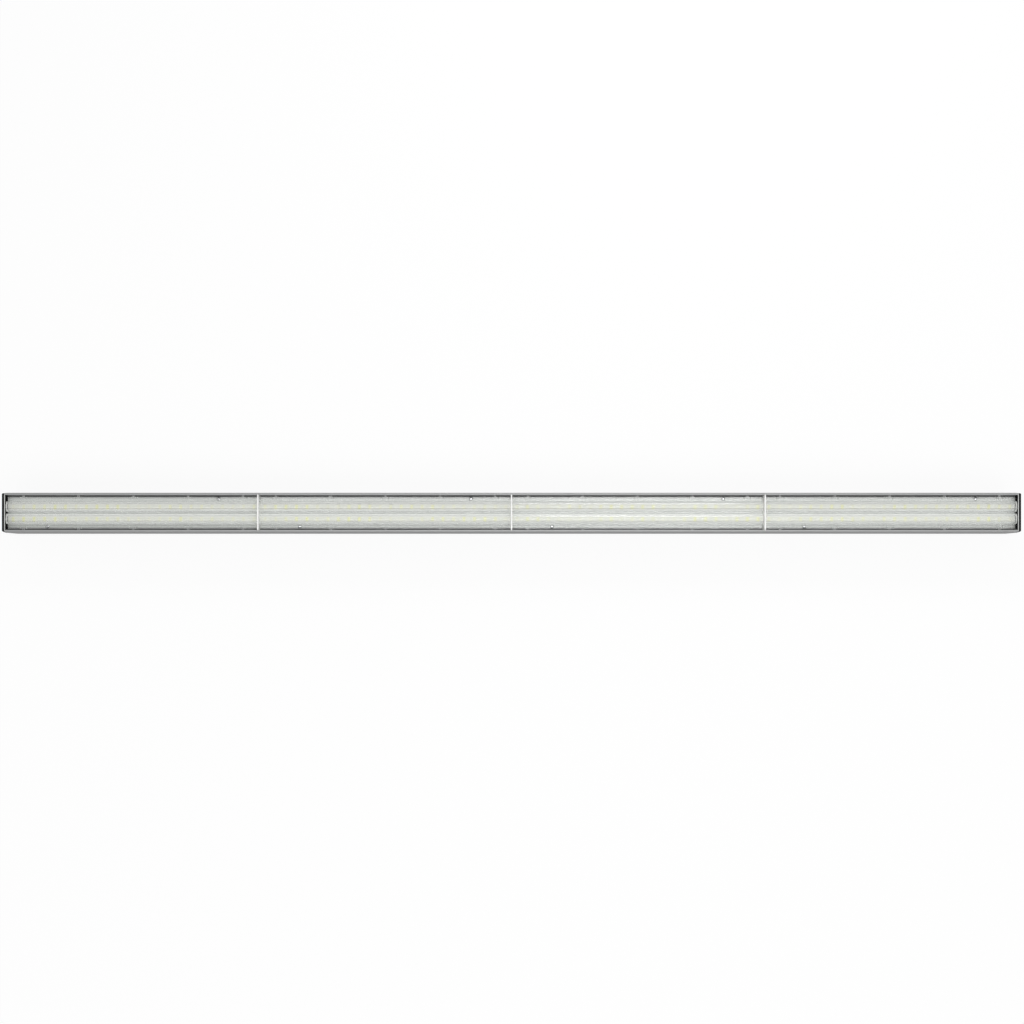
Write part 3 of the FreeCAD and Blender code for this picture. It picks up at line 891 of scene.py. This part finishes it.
class Repeat:
    """Geometry node trees that repeat a pattern, and the way their result becomes a plain mesh."""

    SCREWS = "screws at places"
    PACKAGES = "packages in rows"

    @staticmethod
    def open(name: str, sockets: dict[str, str]) -> Group:
        """Open a tree that repeats a pattern.

        Args:
            name: name of the tree.
            sockets: its inputs apart from geometry, pattern and material, each with its kind.

        Returns:
            The group of the tree.
        """
        geometry = {"Geometry": "NodeSocketGeometry"}
        further = {"Pattern": "NodeSocketObject"} | sockets | {"Material": "NodeSocketMaterial"}
        return Group(name, "GeometryNodeTree", geometry | further, geometry)

    @staticmethod
    def close(group: Group, placed: bpy.types.NodeSocket) -> bpy.types.NodeTree:
        """End a tree in real meshes with their material.

        Args:
            group: group of the tree.
            placed: output that holds the repeated patterns.

        Returns:
            The tree.
        """
        real = group.add("GeometryNodeRealizeInstances", {"Geometry": placed})
        parts = {"Geometry": real.outputs[0], "Material": group.take("Material")}
        group.hand_out("Geometry", group.add("GeometryNodeSetMaterial", parts).outputs[0])
        return group.tree

    @staticmethod
    def pattern(group: Group) -> bpy.types.NodeSocket:
        """Return the output that holds the pattern that a tree repeats."""
        return group.add("GeometryNodeObjectInfo", {"Object": group.take("Pattern")}).outputs["Geometry"]

    @classmethod
    def at_places(cls) -> bpy.types.NodeTree:
        """Tree that sets a pattern at each vertex, turned at random about the way it faces.

        Returns:
            The tree, the same one at every call.
        """
        found = bpy.data.node_groups.get(cls.SCREWS)
        if found:
            return found
        group = cls.open(cls.SCREWS, {"Facing": "NodeSocketVector", "Seed": "NodeSocketInt"})
        facing = {"Vector": group.take("Facing")}
        aim = group.add("FunctionNodeAlignRotationToVector", facing, axis="Z").outputs[0]
        parts = {"Points": group.take("Geometry"), "Instance": cls.pattern(group), "Rotation": aim}
        placed = group.add("GeometryNodeInstanceOnPoints", parts).outputs[0]
        turn = group.add("FunctionNodeRandomValue", {"Seed": group.take("Seed")}, data_type="FLOAT")
        spin = group.add("ShaderNodeCombineXYZ", {"Z": group.math("MULTIPLY", turn.outputs[1], math.tau)})
        turned = {"Instances": placed, "Rotation": spin.outputs[0], "Local Space": True}
        return cls.close(group, group.add("GeometryNodeRotateInstances", turned).outputs[0])

    @classmethod
    def in_rows(cls) -> bpy.types.NodeTree:
        """Tree that sets a pattern along two rows, one on each side of the middle.

        Returns:
            The tree, the same one at every call.
        """
        found = bpy.data.node_groups.get(cls.PACKAGES)
        if found:
            return found
        lengths = dict.fromkeys(("Pitch", "Row Offset", "First", "Seat"), "NodeSocketFloat")
        group = cls.open(cls.PACKAGES, {"Count": "NodeSocketInt"} | lengths)
        step = group.add("ShaderNodeCombineXYZ", {"X": group.take("Pitch")}).outputs[0]
        rows = group.add("GeometryNodeJoinGeometry")
        for side in (-1.0, 1.0):
            offset = group.math("MULTIPLY", group.take("Row Offset"), side)
            corner = {"X": group.take("First"), "Y": offset, "Z": group.take("Seat")}
            start = group.add("ShaderNodeCombineXYZ", corner).outputs[0]
            line = {"Count": group.take("Count"), "Start Location": start, "Offset": step}
            group.give(rows.inputs[0], group.add("GeometryNodeMeshLine", line).outputs[0])
        parts = {"Points": rows.outputs[0], "Instance": cls.pattern(group)}
        return cls.close(group, group.add("GeometryNodeInstanceOnPoints", parts).outputs[0])

    @staticmethod
    def realise(
        name: str, tree: bpy.types.NodeTree, places: Sequence[Point], values: dict[str, Any]
    ) -> bpy.types.Mesh:
        """Run a tree and keep its result as a plain mesh.

        Args:
            name: name of the mesh.
            tree: the tree to run.
            places: vertices that the tree starts from.
            values: its inputs by name.

        Returns:
            The mesh, in place and with its material.
        """
        seats = bpy.data.meshes.new(f"{name}_places")
        seats.from_pydata(list(places), [], [])
        carrier = bpy.data.objects.new(f"{name}_carrier", seats)
        pattern = values["Pattern"]
        for each in (carrier, pattern):
            show(each)
        modifier = carrier.modifiers.new("repeat", "NODES")
        modifier.node_group = tree
        for item in tree.interface.items_tree:
            if item.in_out == "INPUT" and item.name in values:
                modifier[item.identifier] = values[item.name]
        graph = bpy.context.evaluated_depsgraph_get()
        mesh = bpy.data.meshes.new_from_object(carrier.evaluated_get(graph), depsgraph=graph)
        mesh.name = name
        carrier.modifiers.remove(modifier)
        for each in (carrier, pattern):
            bpy.data.objects.remove(each)
        return mesh


@dataclass
class Housing:
    """The aluminium extrusion with the inserts in its back."""

    def build(self) -> None:
        """Dress the extrusion and its inserts."""
        dress("housing", Palette.EXTRUSION)
        dress("suspension_inserts", Palette.SCREW)


@dataclass
class ControlGear:
    """The tray behind the boards and the driver on it."""

    def build(self) -> None:
        """Dress the tray, the driver, its terminals, screws and leads."""
        dress("gear_tray", Palette.TRAY)
        dress("driver_case", Palette.DRIVER)
        dress("driver_input_terminal", Palette.TERMINAL)
        dress("driver_output_terminal", Palette.TERMINAL)
        dress("driver_screws", Palette.SCREW)
        dress("output_leads", Palette.LEAD)


@dataclass
class LedBoards:
    """The white boards, the rows of LED packages on them and the straps between them."""

    boards: int = 4
    per_row: int = 24
    package_length: float = 3.5 * MM
    package_width: float = 2.8 * MM
    notch: float = 0.6 * MM
    frame_width: float = 0.16 * MM
    window_depth: float = 0.08 * MM

    def package(self, height: float) -> bpy.types.Object:
        """Build one LED package, standing on its seat.

        Args:
            height: how far it stands up.

        Returns:
            The package as a pattern to repeat, with its window marked.
        """
        along = self.package_length / 2
        side = self.package_width / 2
        corners = [
            (-along, -side),
            (along, -side),
            (along, side),
            (self.notch - along, side),
            (-along, side - self.notch),
        ]
        mesh = bmesh.new()
        mark = mesh.faces.layers.float.new(Palette.LED.mark)
        base = mesh.faces.new([mesh.verts.new((x, y, 0.0)) for x, y in corners])
        grown = bmesh.ops.extrude_face_region(mesh, geom=[base])["geom"]
        raised = [each for each in grown if isinstance(each, bmesh.types.BMVert)]
        bmesh.ops.translate(mesh, verts=raised, vec=(0.0, 0.0, height))
        bmesh.ops.recalc_face_normals(mesh, faces=mesh.faces)
        top = max(mesh.faces, key=lambda face: face.calc_center_median().z)
        bmesh.ops.inset_individual(mesh, faces=[top], thickness=self.frame_width, depth=-self.window_depth)
        top[mark] = 1.0
        data = bpy.data.meshes.new("led_package")
        mesh.to_mesh(data)
        mesh.free()
        return bpy.data.objects.new("led_package", data)

    def rows(self, index: int) -> None:
        """Set the packages of one board in their rows.

        Args:
            index: number of the board, counted from 1.
        """
        node = f"leds_{index}"
        low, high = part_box(node)
        mesh = Repeat.realise(
            f"led_packages_{index}",
            Repeat.in_rows(),
            [tuple(low)],
            {
                "Pattern": self.package(high.z - low.z),
                "Count": self.per_row,
                "Pitch": (high.x - low.x - self.package_length) / (self.per_row - 1),
                "Row Offset": high.y - self.package_width / 2,
                "First": low.x + self.package_length / 2,
                "Seat": low.z,
                "Material": Palette.LED.material(),
            },
        )
        mount_piece(f"led_packages_{index}", mesh, Slot.LED, node)

    def build(self) -> None:
        """Build the boards from one end of the light to the other."""
        for index in range(1, self.boards + 1):
            dress(f"led_board_{index}", Palette.BOARD)
            self.rows(index)
        dress("board_links", Palette.STRAP)
        dress("feed_pins", Palette.STRAP)
        dress("feed_plug", Palette.PLUG)


@dataclass
class Optics:
    """The clear lenses, their seals, the white strips between them and the screws that hold them."""

    lenses: int = 4
    screw_inset: float = 47.0 * MM
    screw_edge: float = 2.7 * MM
    head_radius: float = 2.1 * MM
    head_height: float = 1.6 * MM
    shank_radius: float = 1.2 * MM
    recess: Recess = Recess(arm=0.85 * MM, width=0.42 * MM, depth=0.5 * MM)
    turn_seed: int = 5

    # The head from its seat to its crown, as shares of its radius and its height.
    dome: tuple[tuple[float, float], ...] = (
        (1.0, 0.0),
        (1.0, 0.35),
        (0.93, 0.66),
        (0.78, 0.87),
        (0.58, 1.0),
    )

    def screw(self, reach: float) -> bpy.types.Object:
        """Build one pan-head screw, seated at the origin.

        Args:
            reach: length of its shank.

        Returns:
            The screw as a pattern to repeat.
        """
        shank = [(self.shank_radius, -reach), (self.shank_radius, 0.0)]
        head = [(self.head_radius * wide, self.head_height * tall) for wide, tall in self.dome]
        return CrossScrew("lens_screw", shank + head, self.recess).build()

    def screws(self) -> None:
        """Set two screws on each lens, at opposite corners."""
        low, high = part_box("lens_screws")
        seat = high.z - self.head_height
        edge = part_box("led_board_1")[1].y - self.screw_edge
        places = []
        for index in range(1, self.lenses + 1):
            start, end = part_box(f"lens_{index}")
            places += [(start.x + self.screw_inset, -edge, seat), (end.x - self.screw_inset, edge, seat)]
        mesh = Repeat.realise(
            "lens_fixings",
            Repeat.at_places(),
            places,
            {
                "Pattern": self.screw(seat - low.z),
                "Facing": (0.0, 0.0, 1.0),
                "Seed": self.turn_seed,
                "Material": Palette.SCREW.material(),
            },
        )
        mount_piece("lens_fixings", mesh, Slot.SCREW, "lens_screws")

    def build(self) -> None:
        """Dress the lenses, seals and strips and set the screws."""
        for index in range(1, self.lenses + 1):
            dress(f"lens_{index}", Palette.CLEAR)
            dress(f"edge_seals_{index}", Palette.RUBBER)
        for index in range(1, self.lenses):
            dress(f"joint_strip_{index}", Palette.STRIP)
        self.screws()


@dataclass
class EndClosure:
    """The cap, seal and screws at one end, and the cable inlet where it has one."""

    end: End
    head_radius: float = 3.1 * MM
    head_depth: float = 1.7 * MM
    shank_radius: float = 1.4 * MM
    recess: Recess = Recess(arm=1.7 * MM, width=0.7 * MM, depth=1.1 * MM)
    turn_seed: int = 11

    def screw(self, reach: float) -> bpy.types.Object:
        """Build one countersunk screw, its face at the origin.

        Args:
            reach: whole length of the screw.

        Returns:
            The screw as a pattern to repeat.
        """
        shank = [(self.shank_radius, -reach), (self.shank_radius, -self.head_depth)]
        return CrossScrew("cap_screw", [*shank, (self.head_radius, 0.0)], self.recess).build()

    def screws(self, side: str) -> None:
        """Set a screw in each corner of the cap.

        Args:
            side: name of the end.
        """
        node = f"end_cap_screws_{side}"
        low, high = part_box(node)
        face = high.x if self.end is End.RIGHT else low.x
        across = (low.y + self.head_radius, high.y - self.head_radius)
        upright = (low.z + self.head_radius, high.z - self.head_radius)
        mesh = Repeat.realise(
            f"cap_fixings_{side}",
            Repeat.at_places(),
            [(face, y, z) for y in across for z in upright],
            {
                "Pattern": self.screw(high.x - low.x),
                "Facing": (float(self.end.value), 0.0, 0.0),
                "Seed": self.turn_seed + self.end.value,
                "Material": Palette.SCREW.material(),
            },
        )
        mount_piece(f"cap_fixings_{side}", mesh, Slot.SCREW, node)

    def build(self) -> None:
        """Dress the cap, its seal and the inlet, and set the screws."""
        side = self.end.name.lower()
        dress(f"end_cap_{side}", Palette.CAP)
        dress(f"end_gasket_{side}", Palette.GASKET)
        if self.end is End.LEFT:
            dress("cable_grommet", Palette.RUBBER)
        self.screws(side)


@dataclass(frozen=True)
class Panel:
    """A soft panel of light along the object: its middle, its two sides and its power in watts."""

    name: str
    place: Point
    size: tuple[float, float]
    power: float

    def hang(self) -> None:
        """Hang the panel, tilted about X to face the object."""
        lamp = bpy.data.lights.new(self.name, "AREA")
        lamp.shape = "RECTANGLE"
        lamp.size, lamp.size_y = self.size
        lamp.energy = self.power
        panel = bpy.data.objects.new(self.name, lamp)
        panel.location = self.place
        panel.rotation_euler.x = math.atan2(-self.place[1], self.place[2])
        show(panel)


@dataclass
class Studio:
    """Pale floor, soft lights and the camera, whose sensor alone is in millimetres."""

    floor_half: float = 40.0
    floor_drop: float = 0.2 * MM
    sky: Colour = (0.58, 0.58, 0.58)
    panels: tuple[Panel, ...] = (
        Panel("bank", (0.2, -0.90, 1.60), (2.6, 1.0), 13.0),
        Panel("key", (0.245, 1.00, 0.89), (0.43, 0.30), 4.6),
        Panel("roof", (0.32, 0.105, 2.25), (1.88, 0.15), 1.75),
        Panel("window", (0.315, 0.095, 2.24), (0.62, 0.15), 0.95),
    )
    distance: float = 2.0
    stand_off: float = 78 * MM
    view_width: float = 1.205
    sensor: float = 36.0
    aim: Point = (0.6 * MM, 0.42 * MM, 58 * MM)

    def floor(self) -> None:
        """Lay the floor, a little below the back of the light."""
        half = self.floor_half
        corners = [(-half, -half), (half, -half), (half, half), (-half, half)]
        mesh = bpy.data.meshes.new("floor")
        mesh.from_pydata([(x, y, -self.floor_drop) for x, y in corners], [], [(0, 1, 2, 3)])
        mesh.materials.append(Palette.FLOOR.material())
        floor = bpy.data.objects.new("floor", mesh)
        show(floor)

    def world(self) -> None:
        """Fill the room with an even grey light."""
        world = bpy.data.worlds.new("studio")
        world.use_nodes = True
        graph = Graph(world.node_tree)
        sky = graph.add("ShaderNodeBackground", {"Color": opaque(self.sky), "Strength": 1.0})
        graph.add("ShaderNodeOutputWorld", {"Surface": sky.outputs[0]})
        bpy.context.scene.world = world

    def camera(self) -> None:
        """Look straight down from beside the front edge, with the picture shifted back to the middle."""
        data = bpy.data.cameras.new("camera")
        data.sensor_width = self.sensor
        data.lens = self.sensor * self.distance / self.view_width
        data.shift_y = self.stand_off / self.view_width
        camera = bpy.data.objects.new("camera", data)
        camera.location = Vector(self.aim) + Vector((0.0, -self.stand_off, self.distance))
        show(camera)
        bpy.context.scene.camera = camera

    def build(self) -> None:
        """Set up the floor, the lights and the camera."""
        bpy.context.scene.view_settings.view_transform = "Standard"
        self.floor()
        self.world()
        for panel in self.panels:
            panel.hang()
        self.camera()


def main() -> None:
    """Build the light from the housing outwards and set up the studio."""
    logging.basicConfig(level=logging.INFO, format="%(name)s: %(message)s")
    Housing().build()
    ControlGear().build()
    LedBoards().build()
    Optics().build()
    for end in End:
        EndClosure(end).build()
    Studio().build()


if __name__ == "__main__":
    main()
